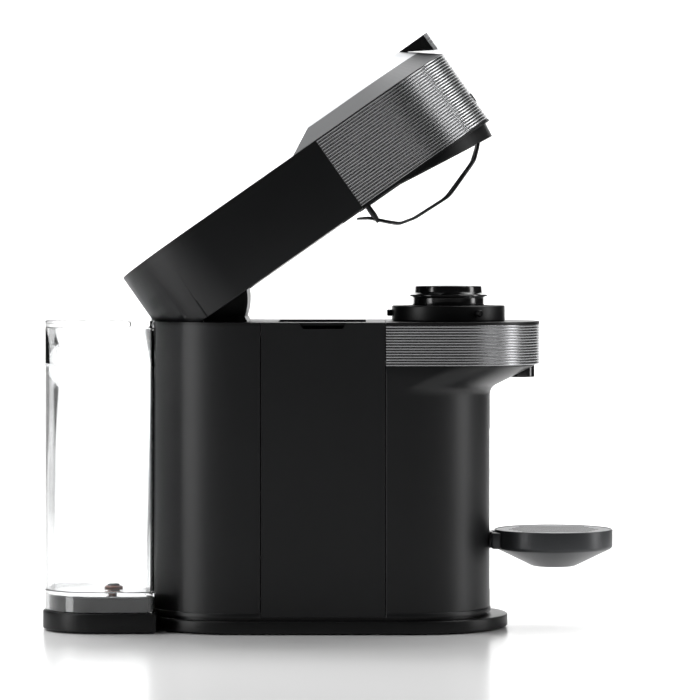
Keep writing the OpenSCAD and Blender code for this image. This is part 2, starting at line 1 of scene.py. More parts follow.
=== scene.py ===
"""Pod coffee machine: finished surfaces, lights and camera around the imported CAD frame.

Shapes are written in millimetres and scaled to metres when a piece is finished. Those of the
tilting head are written as if it were shut, and turned open about the hinge shaft. The frame's
joints, the lights and the camera are in metres.
"""
import json
import math

import bmesh
import bpy
from mathutils import Matrix, Vector


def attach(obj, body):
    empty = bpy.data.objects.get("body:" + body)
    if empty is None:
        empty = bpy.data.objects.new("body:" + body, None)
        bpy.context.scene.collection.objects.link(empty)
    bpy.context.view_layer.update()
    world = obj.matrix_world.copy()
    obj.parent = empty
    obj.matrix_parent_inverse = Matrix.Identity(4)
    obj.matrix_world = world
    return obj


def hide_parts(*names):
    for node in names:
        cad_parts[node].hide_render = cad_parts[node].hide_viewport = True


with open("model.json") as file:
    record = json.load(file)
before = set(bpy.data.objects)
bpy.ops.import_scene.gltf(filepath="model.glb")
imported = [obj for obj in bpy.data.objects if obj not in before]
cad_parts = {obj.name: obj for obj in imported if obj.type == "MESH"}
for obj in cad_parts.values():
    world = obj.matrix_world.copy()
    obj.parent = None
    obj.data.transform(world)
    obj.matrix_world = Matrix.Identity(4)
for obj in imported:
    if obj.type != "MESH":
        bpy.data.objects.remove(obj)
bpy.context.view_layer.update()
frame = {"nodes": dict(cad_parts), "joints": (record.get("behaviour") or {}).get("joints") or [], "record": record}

MM = 0.001
JOINTS = {joint["name"]: joint for joint in frame["joints"]}
HINGE = Vector(JOINTS["head_hinge"]["pos_m"])
HEAD_OPEN = math.radians(JOINTS["head_hinge"]["range_deg"][1])

# From here on, sizes are in millimetres.
HINGE_X = HINGE.x / MM
HINGE_Z = HINGE.z / MM
BODY_R = 69.0                       # half width of body and head
SHELL_WALL = 2.5                    # wall of the body and arm shells
BREW_X = 90.5                       # brewing axis
SPOUT_X = 146.0                     # coffee outlet
VALVE_X = -163.7                    # tank valve
BODY_REAR_X = -66.7                 # centre of the body's round rear end
COLUMN_X = 53.0                     # centre of the column's round front
TAIL_X = -67.5                      # centre of the arm's round tail
BAY_REAR = -50.4                    # seams of the container bay
BAY_FRONT = 42.4
DECK_Z = 231.3
HEAD_BOTTOM = 232.8
HEAD_TOP = 294.4
TURNED_STEPS = 160                  # sides of the finest turned parts
ON_AXIS = 1e-6                      # a smaller radius counts as the axis itself


# ---------- placing ----------

def opened_matrix():
    """Turns a shut-head shape to where the head stands at rest."""
    return (Matrix.Translation(HINGE) @ Matrix.Rotation(-HEAD_OPEN, 4, "Y")
            @ Matrix.Translation(-HINGE))


OPENED = opened_matrix()


def new_object(name, mesh):
    obj = bpy.data.objects.new(name, mesh)
    bpy.context.scene.collection.objects.link(obj)
    return obj


def built(name, bm):
    """Object from a finished bmesh, its faces turned outwards."""
    bmesh.ops.recalc_face_normals(bm, faces=bm.faces)
    mesh = bpy.data.meshes.new(name)
    bm.to_mesh(mesh)
    bm.free()
    return new_object(name, mesh)


def finish_piece(obj, body, slot, replaced=(), head=False, smooth=40, look=None):
    """Scales a millimetre mesh to metres, opens head pieces, and gives body and material.

    The material is the slot's own, unless look names another.
    """
    obj.data.transform(Matrix.Scale(MM, 4))
    if head:
        obj.data.transform(OPENED)
    shade(obj, smooth)
    obj.data.materials.clear()
    obj.data.materials.append(SURFACES[look or slot])
    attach(obj, body)
    if replaced:
        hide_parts(*replaced)


def shade(obj, angle):
    """Smooth shading with edges sharper than the angle kept crisp."""
    mesh = obj.data
    limit = math.radians(angle)
    bm = bmesh.new()
    bm.from_mesh(mesh)
    bm.normal_update()
    for edge in bm.edges:
        if len(edge.link_faces) == 2:
            edge.smooth = edge.calc_face_angle(0.0) < limit
        else:
            edge.smooth = False
    for face in bm.faces:
        face.smooth = True
    bm.to_mesh(mesh)
    bm.free()


# ---------- outlines (lists of x, y points, counter-clockwise) ----------

def arc(cx, cy, r, a0, a1, steps):
    return [(cx + r * math.cos(math.radians(a0 + (a1 - a0) * i / steps)),
             cy + r * math.sin(math.radians(a0 + (a1 - a0) * i / steps)))
            for i in range(steps + 1)]


def stadium(x0, x1, r, steps=48):
    return arc(x1, 0, r, -90, 90, steps) + arc(x0, 0, r, 90, 270, steps)


def dee(x0, xc, r, steps=64, corner=0.8):
    """Round about xc in front, square at x0 with small corner radii."""
    front = arc(xc, 0, r, -90, 90, steps)
    back = (arc(x0 + corner, r - corner, corner, 90, 180, 4)
            + arc(x0 + corner, -r + corner, corner, 180, 270, 4))
    return front + back


def tail(x1, xc, r, steps=64, corner=0.8):
    """Square at x1, round about xc behind."""
    back = arc(xc, 0, r, 90, 270, steps)
    front = (arc(x1 - corner, -r + corner, corner, -90, 0, 4)
             + arc(x1 - corner, r - corner, corner, 0, 90, 4))
    return back + front


def circle(cx, r, steps=96):
    return arc(cx, 0, r, 0, 360 - 360 / steps, steps - 1)


# ---------- solids from stacked outlines ----------

def loft(name, rings, closed=True):
    """Skin through rings of (outline, z); all outlines have the same number of points."""
    bm = bmesh.new()
    rows = []
    for outline, z in rings:
        rows.append([bm.verts.new((x, y, z)) for x, y in outline])
    count = len(rows[0])
    for low, high in zip(rows, rows[1:]):
        for i in range(count):
            j = (i + 1) % count
            bm.faces.new((low[i], low[j], high[j], high[i]))
    if closed:
        bm.faces.new(list(reversed(rows[0])))
        bm.faces.new(rows[-1])
    else:
        low, high = rows[-1], rows[0]
        for i in range(count):
            j = (i + 1) % count
            bm.faces.new((low[i], low[j], high[j], high[i]))
    return built(name, bm)


def rounded_rings(shape, z0, z1, bevel, steps=4, bottom=True, top=True):
    """Rings of a prism whose rims are rounded; shape(inset) gives the outline."""
    rings = []
    turns = [i / steps * math.pi / 2 for i in range(steps + 1)]
    if bottom:
        rings += [(shape(bevel * (1 - math.sin(t))), z0 + bevel * (1 - math.cos(t)))
                  for t in turns]
    else:
        rings.append((shape(0), z0))
    if top:
        rings += [(shape(bevel * (1 - math.cos(t))), z1 - bevel * (1 - math.sin(t)))
                  for t in turns]
    else:
        rings.append((shape(0), z1))
    return rings


def revolve(name, profile, x=0.0, steps=128, closed=False):
    """Turned solid about the vertical line at x; profile is (radius, z) from the axis round."""
    bm = bmesh.new()
    rows = []
    for r, z in profile:
        if r < ON_AXIS:
            rows.append([bm.verts.new((x, 0, z))])
        else:
            rows.append([bm.verts.new((px, py, z)) for px, py in circle(x, r, steps)])
    pairs = list(zip(rows, rows[1:]))
    if closed:
        pairs.append((rows[-1], rows[0]))
    for low, high in pairs:
        for i in range(steps):
            j = (i + 1) % steps
            if len(low) == 1:
                bm.faces.new((low[0], high[j], high[i]))
            elif len(high) == 1:
                bm.faces.new((low[i], low[j], high[0]))
            else:
                bm.faces.new((low[i], low[j], high[j], high[i]))
    return built(name, bm)


def band_path(x0, xc, r, steps=96, runs=6):
    """Open U path in plan: straight side, round front, straight side."""
    near = [(x0 + (xc - x0) * i / runs, -r) for i in range(runs)]
    far = [(xc + (x0 - xc) * i / runs, r) for i in range(1, runs + 1)]
    return near + arc(xc, 0, r, -90, 90, steps) + far


def band(name, x0, xc, section):
    """Sweeps a closed (radius, z) section along the U path and caps its two ends."""
    bm = bmesh.new()
    columns = []
    for r, z in section:
        columns.append([bm.verts.new((x, y, z)) for x, y in band_path(x0, xc, r)])
    count = len(columns)
    for j in range(count):
        a, b = columns[j], columns[(j + 1) % count]
        for i in range(len(a) - 1):
            bm.faces.new((a[i], a[i + 1], b[i + 1], b[i]))
    bm.faces.new([column[0] for column in columns])
    bm.faces.new([column[-1] for column in reversed(columns)])
    return built(name, bm)


def ribbed_section(z0, z1, r_out, r_in, count, depth):
    """Wall section whose outer face carries rounded ribs with narrow grooves."""
    pitch = (z1 - z0) / count
    rib_steps, fullness = 9, 2.4
    section = []
    for i in range(count):
        for step in range(rib_steps):
            t = step / rib_steps
            crown = 1 - abs(2 * t - 1) ** fullness
            section.append((r_out - depth * (1 - crown), z0 + (i + t) * pitch))
    section.append((r_out - depth, z1))
    return section + [(r_in, z1), (r_in, z0)]


def bake(obj):
    """Applies the object's modifier to its mesh."""
    bpy.context.view_layer.update()
    graph = bpy.context.evaluated_depsgraph_get()
    result = bpy.data.meshes.new_from_object(obj.evaluated_get(graph))
    obj.modifiers.clear()
    obj.data = result


def cut(obj, cutter):
    """Boolean difference, applied at once; the cutter is removed."""
    modifier = obj.modifiers.new("cut", "BOOLEAN")
    modifier.operation = "DIFFERENCE"
    modifier.solver = "EXACT"
    modifier.object = cutter
    bake(obj)
    bpy.data.objects.remove(cutter)
    return obj


def box_solid(name, x0, x1, y0, y1, z0, z1):
    return loft(name, [([(x0, y0), (x1, y0), (x1, y1), (x0, y1)], z) for z in (z0, z1)])


def round_tool(x, r, z0, z1):
    return revolve("tool", [(0, z0), (r, z0), (r, z1), (0, z1)], x, 96)


def placed(obj, x, y):
    obj.data.transform(Matrix.Translation((x, y, 0)))
    return obj


def joined(objects):
    """One object from several closed ones."""
    bm = bmesh.new()
    for obj in objects:
        bm.from_mesh(obj.data)
    mesh = objects[0].data
    bm.to_mesh(mesh)
    bm.free()
    for obj in objects[1:]:
        bpy.data.objects.remove(obj)
    return objects[0]


def rounded_profile(points, radius, steps=4):
    """Rounds every corner of a (radius, z) profile that isn't on the axis."""
    out = []
    count = len(points)
    for i, (r, z) in enumerate(points):
        if r < ON_AXIS or i in (0, count - 1):
            out.append((r, z))
            continue
        here = Vector((r, z))
        back = Vector(points[i - 1]) - here
        ahead = Vector(points[(i + 1) % count]) - here
        reach = min(radius, back.length * 0.45, ahead.length * 0.45)
        a, b = here + back.normalized() * reach, here + ahead.normalized() * reach
        for k in range(steps + 1):
            t = k / steps
            point = a * (1 - t) ** 2 + here * 2 * t * (1 - t) + b * t * t
            out.append((point.x, point.y))
    return out


def bevelled(obj, width, segments=3, angle=35):
    """Rounds the sharp edges and applies the result."""
    modifier = obj.modifiers.new("bevel", "BEVEL")
    modifier.width = width
    modifier.segments = segments
    modifier.limit_method = "ANGLE"
    modifier.angle_limit = math.radians(angle)
    bake(obj)
    return obj


# ---------- materials ----------

def base_material(name):
    material = bpy.data.materials.new(name)
    material.use_nodes = True
    nodes = material.node_tree.nodes
    return material, nodes, material.node_tree.links, nodes["Principled BSDF"]


def noise(nodes, links, scale, detail, stretch=(1, 1, 1)):
    place = nodes.new("ShaderNodeTexCoord")
    mapping = nodes.new("ShaderNodeMapping")
    mapping.inputs["Scale"].default_value = stretch
    texture = nodes.new("ShaderNodeTexNoise")
    texture.inputs["Scale"].default_value = scale
    texture.inputs["Detail"].default_value = detail
    links.new(place.outputs["Object"], mapping.inputs["Vector"])
    links.new(mapping.outputs["Vector"], texture.inputs["Vector"])
    return texture


def surface(name, colour, roughness, metallic=0.0, grain=1800.0, grain_height=0.00002,
            tint=0.12, rough_spread=0.06, specular=0.5, coat=0.0, stretch=(1, 1, 1)):
    """Moulded or painted surface: broad variation in tint, fine grain in gloss and bump."""
    material, nodes, links, shader = base_material(name)
    broad = noise(nodes, links, scale=14.0, detail=4.0)
    fine = noise(nodes, links, scale=grain, detail=2.0, stretch=stretch)
    ramp = nodes.new("ShaderNodeValToRGB")
    ramp.color_ramp.elements[0].position = 0.3
    ramp.color_ramp.elements[1].position = 0.7
    ramp.color_ramp.elements[0].color = [c * (1 - tint) for c in colour] + [1]
    ramp.color_ramp.elements[1].color = [c * (1 + tint) for c in colour] + [1]
    links.new(broad.outputs["Fac"], ramp.inputs["Fac"])
    links.new(ramp.outputs["Color"], shader.inputs["Base Color"])
    gloss = nodes.new("ShaderNodeMapRange")
    gloss.inputs["To Min"].default_value = max(roughness - rough_spread, 0.02)
    gloss.inputs["To Max"].default_value = roughness + rough_spread
    links.new(fine.outputs["Fac"], gloss.inputs["Value"])
    links.new(gloss.outputs["Result"], shader.inputs["Roughness"])
    bump = nodes.new("ShaderNodeBump")
    bump.inputs["Strength"].default_value = 0.5
    bump.inputs["Distance"].default_value = grain_height
    links.new(fine.outputs["Fac"], bump.inputs["Height"])
    links.new(bump.outputs["Normal"], shader.inputs["Normal"])
    shader.inputs["Metallic"].default_value = metallic
    shader.inputs["Specular IOR Level"].default_value = specular
    shader.inputs["Coat Weight"].default_value = coat
    shader.inputs["Coat Roughness"].default_value = 0.12
    return material


def clear_surface(name, colour, roughness):
    """Clear moulded polymer: faint flow marks in its gloss, greyer where seen edge on."""
    material, nodes, links, shader = base_material(name)
    flow = noise(nodes, links, scale=30.0, detail=2.0, stretch=(1, 1, 0.15))
    gloss = nodes.new("ShaderNodeMapRange")
    gloss.inputs["To Min"].default_value = roughness
    gloss.inputs["To Max"].default_value = roughness + 0.03
    links.new(flow.outputs["Fac"], gloss.inputs["Value"])
    links.new(gloss.outputs["Result"], shader.inputs["Roughness"])
    edge = nodes.new("ShaderNodeLayerWeight")
    edge.inputs["Blend"].default_value = 0.22
    ramp = nodes.new("ShaderNodeValToRGB")
    ramp.color_ramp.elements[0].position = 0.30
    ramp.color_ramp.elements[0].color = list(colour) + [1]
    ramp.color_ramp.elements[1].position = 0.85
    ramp.color_ramp.elements[1].color = [c * 0.30 for c in colour] + [1]
    links.new(edge.outputs["Facing"], ramp.inputs["Fac"])
    links.new(ramp.outputs["Color"], shader.inputs["Base Color"])
    shader.inputs["Transmission Weight"].default_value = 1.0
    shader.inputs["IOR"].default_value = 1.46
    return material


SURFACES = {
    "matte_black": surface("matte_black", (0.0066, 0.0069, 0.0076), 0.40, specular=0.34),
    "satin_black": surface("satin_black", (0.0050, 0.0052, 0.0056), 0.38, specular=0.26),
    "gloss_black": surface("gloss_black", (0.0060, 0.0060, 0.0065), 0.16, grain=600.0,
                           grain_height=0.000004, rough_spread=0.03, coat=0.4),
    "ribbed_grey": surface("ribbed_grey", (0.300, 0.302, 0.308), 0.26, metallic=0.9,
                           grain=260.0, grain_height=0.000001, tint=0.06, rough_spread=0.02),
    "smooth_grey": surface("smooth_grey", (0.034, 0.035, 0.037), 0.42, metallic=0.2, specular=0.25,
                           grain_height=0.00001, tint=0.06),
    "silver_top": surface("silver_top", (0.36, 0.365, 0.375), 0.45, metallic=0.45,
                          grain=2600.0, grain_height=0.000008, tint=0.03),
    "chrome": surface("chrome", (0.80, 0.81, 0.82), 0.28, metallic=0.7, grain=300.0,
                      grain_height=0.000003, tint=0.02, rough_spread=0.03),
    "support_grey": surface("support_grey", (0.042, 0.044, 0.047), 0.36, metallic=0.25,
                            tint=0.08),
    "clear": clear_surface("clear", (0.985, 0.992, 0.995), 0.01),
    "steel": surface("steel", (0.50, 0.51, 0.52), 0.28, metallic=1.0, grain=700.0,
                     grain_height=0.00001, stretch=(1, 1, 12)),
    "spring_wire": surface("spring_wire", (0.030, 0.030, 0.032), 0.30, metallic=0.6,
                           grain=1500.0, grain_height=0.00001),
    "rubber": surface("rubber", (0.016, 0.016, 0.016), 0.72, grain=1200.0,
                      grain_height=0.00005, specular=0.3),
    "seal_red": surface("seal_red", (0.17, 0.055, 0.032), 0.42, grain_height=0.00001),
    "cast_alloy": surface("cast_alloy", (0.36, 0.37, 0.38), 0.44, metallic=0.9, grain=900.0,
                          grain_height=0.00006),
    "inner_grey": surface("inner_grey", (0.030, 0.031, 0.033), 0.50, grain_height=0.00003),
    "white_light": surface("white_light", (0.78, 0.79, 0.79), 0.40, tint=0.03),
    "board_green": surface("board_green", (0.012, 0.085, 0.040), 0.40, grain=400.0),
    "hose_clear": surface("hose_clear", (0.62, 0.62, 0.58), 0.38, tint=0.05),
    "bush_cream": surface("bush_cream", (0.55, 0.49, 0.35), 0.45, tint=0.06),
}
SLOT_OF = {part["node"]: part["material_slot"] for part in frame["record"]["subparts"]}


def dress_cad():
    """Gives every CAD node the surface of its material slot."""
    for name, obj in frame["nodes"].items():
        for holder in obj.material_slots:
            holder.material = SURFACES[SLOT_OF[name]]


dress_cad()


# ---------- head ----------

def head_cover():
    """Ribbed cover round the front of the head."""
    section = ribbed_section(HEAD_BOTTOM + 1.6, HEAD_TOP, BODY_R, BODY_R - 2.4,
                             count=27, depth=0.62)
    finish_piece(band("cover_shell", BAY_FRONT, BREW_X, section), "head", "ribbed_grey",
                 ["head_cover"], head=True, smooth=50)


def swing_drum(gap):
    """Round envelope about the hinge shaft that the arm's tail turns in, grown by the gap."""
    half, runs, least = 61.0, 24, 17
    profile = [(0, -half - gap)]
    for i in range(-runs, runs + 1):
        y = i * half / runs
        side = HINGE_X - TAIL_X + math.sqrt(BODY_R ** 2 - y * y)
        corner = min(math.hypot(side, HINGE_Z - HEAD_BOTTOM), least)
        at_end = abs(i) == runs
        profile.append((max(side, corner) + gap, y + math.copysign(gap, y) * at_end))
    profile.append((0, half + gap))
    drum = revolve("drum", profile, 0, 96)
    drum.data.transform(Matrix.Translation((HINGE_X, 0, HINGE_Z))
                        @ Matrix.Rotation(math.radians(90), 4, "X"))
    return drum


def arm():
    """Arm's shell: rounded tail, open below, its lower rear edge round about the shaft."""
    skin = loft("arm_skin", rounded_rings(
        lambda inset: tail(BAY_FRONT - 0.2, TAIL_X, BODY_R - inset), HEAD_BOTTOM, HEAD_TOP, 0.8))
    cut(skin, loft("room", [(tail(BAY_FRONT + 5, TAIL_X, BODY_R - SHELL_WALL), z)
                            for z in (HEAD_BOTTOM - 4, HEAD_TOP - SHELL_WALL)]))
    block = box_solid("block", -165, HINGE_X, -80, 80, HEAD_BOTTOM - 6, HINGE_Z)
    cut(skin, cut(block, swing_drum(0.3)))
    finish_piece(skin, "head", "matte_black", ["arm_shell"], head=True, smooth=30)


# ---------- body ----------

NECK_Z = 12.7
LIP_Z = 16.0
FUNNEL_Z = 176.0                    # where the column starts to sweep forward
BAND_Z = 199.0                      # foot of the ribbed band
COLLAR_R = 42.8
COLLAR_TOP = 243.2


def wall_rings(shape, top, lip=0.6):
    """Outer rings of a body shell: a small lip at the foot, then straight up to the top."""
    return [(shape(-lip), NECK_Z), (shape(-lip), LIP_Z - 0.5), (shape(-lip / 2), LIP_Z - 0.1),
            (shape(0), LIP_Z), (shape(0), top)]


def rear_body():
    """Round-backed shell, with the room the arm's tail swings through."""
    top = 229.2
    outer = wall_rings(lambda inset: tail(BAY_REAR, BODY_REAR_X, BODY_R - inset), top)
    inner = [(tail(BAY_REAR - SHELL_WALL, BODY_REAR_X, BODY_R - SHELL_WALL), z)
             for z in (top, NECK_Z)]
    shell = loft("rear_body", outer + inner, closed=False)
    drum = swing_drum(0.8)
    cut(drum, box_solid("front", HINGE_X + 4, 0, -90, 90, 180, 300))
    cut(shell, drum)
    finish_piece(shell, "machine", "matte_black", ["rear_housing"])


def funnel_shift(z, start=FUNNEL_Z, radius=8.2, slope=63.8):
    """How far the column's round front has moved forward at height z under the band."""
    turn = math.radians(slope)
    level = start + radius * math.sin(turn)
    if z <= start:
        return 0.0
    if z < level:
        return radius - math.sqrt(radius ** 2 - (z - start) ** 2)
    return radius * (1 - math.cos(turn)) + (z - level) * math.tan(turn)


def column_body():
    """Round column that sweeps forward under the ribbed band."""
    fine, straight_top, sweep_top = 96, 174, 198
    levels = [FUNNEL_Z + 0.9 * i for i in range(9)] + [184.5, 189, 193.5, sweep_top]
    rings = wall_rings(lambda inset: dee(BAY_FRONT, COLUMN_X, BODY_R - inset, fine), straight_top)
    rings += [(dee(BAY_FRONT, COLUMN_X + funnel_shift(z), BODY_R, fine), z) for z in levels]
    last = COLUMN_X + funnel_shift(sweep_top)
    rings[-1] = (dee(BAY_FRONT, last, BODY_R - 0.4, fine), sweep_top)
    rings.append((dee(BAY_FRONT, last + 0.2, BODY_R - 0.5, fine), BAND_Z))
    room = [(dee(BAY_FRONT + SHELL_WALL, COLUMN_X, BODY_R - SHELL_WALL, fine), z)
            for z in (BAND_Z, NECK_Z)]
    column = loft("column_body", rings + room, closed=False)
    cut(column, box_solid("slot", 100, 130, -8.6, 8.6, 28, 150))
    finish_piece(column, "machine", "matte_black", ["front_column"])


def brew_band():
    """Ribbed band round the brewing unit."""
    section = ribbed_section(BAND_Z, 229.5, BODY_R, BODY_R - 2.5, count=15, depth=0.5)
    finish_piece(band("band_ribs", BAY_FRONT + 0.2, BREW_X, section), "machine", "ribbed_grey",
                 ["ribbed_band"], smooth=50)


def collar():
    """Bayonet collar with a rounded shoulder, three studs and a thin top groove."""
    bore, groove, stud_reach = 31.4, 242.6, 41.6
    profile = rounded_profile([(bore, DECK_Z), (COLLAR_R, DECK_Z), (COLLAR_R, COLLAR_TOP),
                               (35.2, COLLAR_TOP), (34.6, groove), (33.2, groove),
                               (32.6, COLLAR_TOP), (bore, COLLAR_TOP)], 1.3)
    parts = [revolve("collar_body", profile, BREW_X, TURNED_STEPS, closed=True)]
    for angle in (60, 180, 300):
        stud = revolve("stud", [(0, 0), (2.5, 0), (2.5, 4.2), (2.1, 4.9), (1.5, 4.9), (1.3, 4.5),
                                (0, 4.5)], 0, 32)
        stud.data.transform(Matrix.Translation((BREW_X, 0, 237.5))
                            @ Matrix.Rotation(math.radians(angle), 4, "Z")
                            @ Matrix.Translation((stud_reach, 0, 0))
                            @ Matrix.Rotation(math.radians(90), 4, "Y"))
        parts.append(stud)
    finish_piece(joined(parts), "machine", "satin_black", ["bayonet_collar"])


def capsule_cup():
    """Turned capsule holder: hub, bowl, thin flange and bevelled rim."""
    outside = [(0, 203), (12, 203), (12, 226), (27, 228), (27, 249.4), (29.8, 250.1),
               (29.8, 251.3), (27.2, 251.9), (25.7, 253), (25.3, 257.9), (23.4, 257.9)]
    inside = [(22.6, 256.8), (22.6, 246), (21.8, 238), (17, 232), (8, 230.5), (0, 230.5)]
    cup = revolve("cup_bowl", rounded_profile(outside + inside, 0.8), BREW_X, TURNED_STEPS)
    finish_piece(cup, "holder", "gloss_black", ["capsule_holder"])


def spout():
    """Short round spout with two outlets in its recessed end."""
    profile = rounded_profile([(0, 190.6), (7.6, 190.6), (8.2, 188.8), (9.8, 188.8), (9.8, 198.9),
                               (9.4, 200), (0, 200)], 0.5)
    body = revolve("spout_body", profile, SPOUT_X, 96)
    for side in (-3.4, 3.4):
        hole = revolve("outlet", [(0, 180), (2, 180), (2, 196), (0, 196)], SPOUT_X, 32)
        hole.data.transform(Matrix.Translation((0, side, 0)))
        cut(body, hole)
    finish_piece(body, "machine", "gloss_black", ["coffee_spout"])


CUP_X = 170.2
CUP_Z = 73.7
CUP_R = 44.8


def cup_stand():
    """Dished cup support on its neck and the slider behind the column's slot."""
    base, reach = CUP_Z - 28, CUP_R - 2.6
    outside = [(0, base), (16.1, base), (CUP_R - 1.2, base + 13.4), (CUP_R, base + 15),
               (CUP_R, CUP_Z), (CUP_R - 1.6, CUP_Z)]
    inside = [(CUP_R - 1.6, CUP_Z - 2), (CUP_R - 4, CUP_Z - 2), (CUP_R - 4, CUP_Z - 10.5),
              (14, CUP_Z - 22), (0, CUP_Z - 22)]
    bowl = revolve("stand_bowl", rounded_profile(outside + inside, 1.1), CUP_X, TURNED_STEPS)
    top, low = CUP_Z - 2, CUP_Z - 14
    neck = bevelled(box_solid("neck", 116.1, CUP_X - CUP_R + 5, -8, 8, low, top), 1.0)
    shoulder = bevelled(box_solid("shoulder", 122.4, CUP_X - CUP_R + 4.5, -20, 20, low, top), 1.6)
    slider = bevelled(box_solid("slider", 108.3, 116.1, -11.7, 11.7, CUP_Z - 20, top), 0.8)
    cut(neck, round_tool(CUP_X, reach, low - 5, top + 5))
    cut(shoulder, round_tool(CUP_X, reach, low - 5, top + 5))
    finish_piece(joined([bowl, neck, shoulder, slider]), "cup_stand", "support_grey",
                 ["cup_support"])


def hoop():
    """Sprung wire hoop, bent down at its front and carried by two slim posts."""
    wire, loop, post_x, points = 1.1, 55.5, 46.5, 160
    # where the wire bends, as (x, z) in side view
    heights = [(35, 229), (42.7, 224.3), (50.4, 215.9), (58.5, 207.9), (70, 204.9),
               (98.3, 203.7), (102.4, 204.4), (126.3, 212.7), (131.7, 214.7), (140.5, 222),
               (146, 228)]
    centre = []
    for i in range(points):
        a = 2 * math.pi * i / points
        x = BREW_X + loop * math.cos(a)
        centre.append(Vector((x, loop * math.sin(a), smooth_height(x, heights))))
    parts = [wire_loop("hoop_wire", centre, wire)]
    post_y = math.sqrt(loop ** 2 - (BREW_X - post_x) ** 2)
    for side in (-1, 1):
        profile = [(0, 217.8), (1.2, 217.8), (2.0, 224), (1.8, 236), (1.8, 260.8), (0, 260.8)]
        post = revolve("post", rounded_profile(profile, 0.6), 0, 32)
        post.data.transform(Matrix.Translation((post_x, side * post_y, 0)))
        parts.append(post)
    finish_piece(joined(parts), "hoop", "spring_wire", ["ejector_hoop"], head=True)


def smooth_height(x, table, reach=1.6):
    """Height along the bent wire, its bends eased over a short stretch."""
    total = 0.0
    for k in range(-2, 3):
        at = min(max(x + k * reach / 2, table[0][0]), table[-1][0])
        for (x0, z0), (x1, z1) in zip(table, table[1:]):
            if at <= x1:
                total += z0 + (z1 - z0) * (at - x0) / (x1 - x0)
                break
    return total / 5


def wire_loop(name, centre, radius, sides=16):
    """Closed round wire along a loop of points."""
    bm = bmesh.new()
    count = len(centre)
    rings = []
    for i, point in enumerate(centre):
        along = (centre[(i + 1) % count] - centre[i - 1]).normalized()
        out = Vector((point.x - BREW_X, point.y, 0)).normalized()
        up = along.cross(out).normalized()
        out = up.cross(along).normalized()
        rings.append([bm.verts.new(point + radius * (out * math.cos(t) + up * math.sin(t)))
                      for t in (2 * math.pi * k / sides for k in range(sides))])
    for i in range(count):
        low, high = rings[i], rings[(i + 1) % count]
        for k in range(sides):
            m = (k + 1) % sides
            bm.faces.new((low[k], low[m], high[m], high[k]))
    return built(name, bm)


# ---------- base and tank ----------

TANK_BACK = -213.5
WING_X = -129.6
TANK_W = 62.0
TANK_CORNER = 40.0
TANK_TOP = 227.0
LID_TOP = 232.5
LID_PIN_X = -149.1


def tank_outline(inset, centre=BODY_REAR_X, hollow=71.0):
    """Plan of the tank: round rear corners, and a front hollowed to the body's rear end."""
    corner, wing = TANK_BACK + TANK_CORNER, WING_X - inset
    side, r = TANK_W - inset, hollow + inset
    turn = math.degrees(math.asin(math.sqrt(r * r - (wing - centre) ** 2) / r))
    y = r * math.sin(math.radians(turn))
    points = arc(corner, -TANK_W + TANK_CORNER, TANK_CORNER - inset, 180, 270, 24)
    points += [(wing - 0.8, -side), (wing, -side + 0.8), (wing, -y - 0.5)]
    points += arc(centre, 0, r, 180 + turn, 180 - turn, 40)
    points += [(wing, y + 0.5), (wing, side - 0.8), (wing - 0.8, side)]
    return points + arc(corner, TANK_W - TANK_CORNER, TANK_CORNER - inset, 90, 180, 24)


def lid_outline(inset):
    corner = TANK_BACK + TANK_CORNER
    return (arc(corner, -TANK_W + TANK_CORNER, TANK_CORNER - inset, 180, 270, 24)
            + [(LID_PIN_X, -TANK_W + inset), (LID_PIN_X, TANK_W - inset)]
            + arc(corner, TANK_W - TANK_CORNER, TANK_CORNER - inset, 90, 180, 24))


def tank():
    """Clear tank with a sunk floor, an open skirt under it and a fine fill line."""
    wall, floor_z, low = 2.0, 28.0, 15.9
    rings = rounded_rings(tank_outline, low, 198.2, 0.5, top=False)
    rings += [(tank_outline(-0.3), 198.6), (tank_outline(-0.3), 199.0), (tank_outline(0), 199.4)]
    rings += rounded_rings(tank_outline, 199.5, TANK_TOP, 0.4, bottom=False)[1:]
    shell = loft("tank_shell", rings)
    cut(shell, loft("inside", rounded_rings(lambda i: tank_outline(wall + i), floor_z + 2.2,
                                            TANK_TOP + 3, 1.5, top=False)))
    cut(shell, loft("under", [(tank_outline(wall), z) for z in (low - 2, floor_z)]))
    cut(shell, round_tool(VALVE_X, 4.2, 20, 40))
    finish_piece(shell, "tank", "clear", ["water_tank"])


def lid():
    """Clear flap of the tank's lid, with its rolled hinge edge and a rim below its top."""
    flap = loft("lid_flap", rounded_rings(lid_outline, TANK_TOP, LID_TOP, 0.9))
    roll = revolve("roll", rounded_profile([(0, -TANK_W + 0.6), (2.4, -TANK_W + 0.6),
                                            (2.4, TANK_W - 0.6), (0, TANK_W - 0.6)], 0.5), 0, 40)
    roll.data.transform(Matrix.Translation((LID_PIN_X, 0, (TANK_TOP + LID_TOP) / 2))
                        @ Matrix.Rotation(math.radians(90), 4, "X"))
    cut(roll, box_solid("half", LID_PIN_X - 5, LID_PIN_X + 0.02, -70, 70, 220, 240))
    finish_piece(joined([flap, roll]), "lid", "clear", ["tank_lid"])


def valve():
    """Tank valve: red-brown seal under a low dark cap."""
    seal = revolve("valve_seal", rounded_profile(
        [(0, 22), (4.0, 22), (4.0, 30.3), (7, 30.3), (7, 31.6), (5.6, 32.2), (0, 32.2)], 0.4),
        VALVE_X, 48)
    finish_piece(seal, "valve", "seal_red", ["tank_valve"])
    cap = revolve("valve_cap", rounded_profile(
        [(0, 32.25), (4.9, 32.25), (4.3, 33.6), (3.2, 34), (0, 34)], 0.5), VALVE_X, 48)
    finish_piece(cap, "valve", "inner_grey")


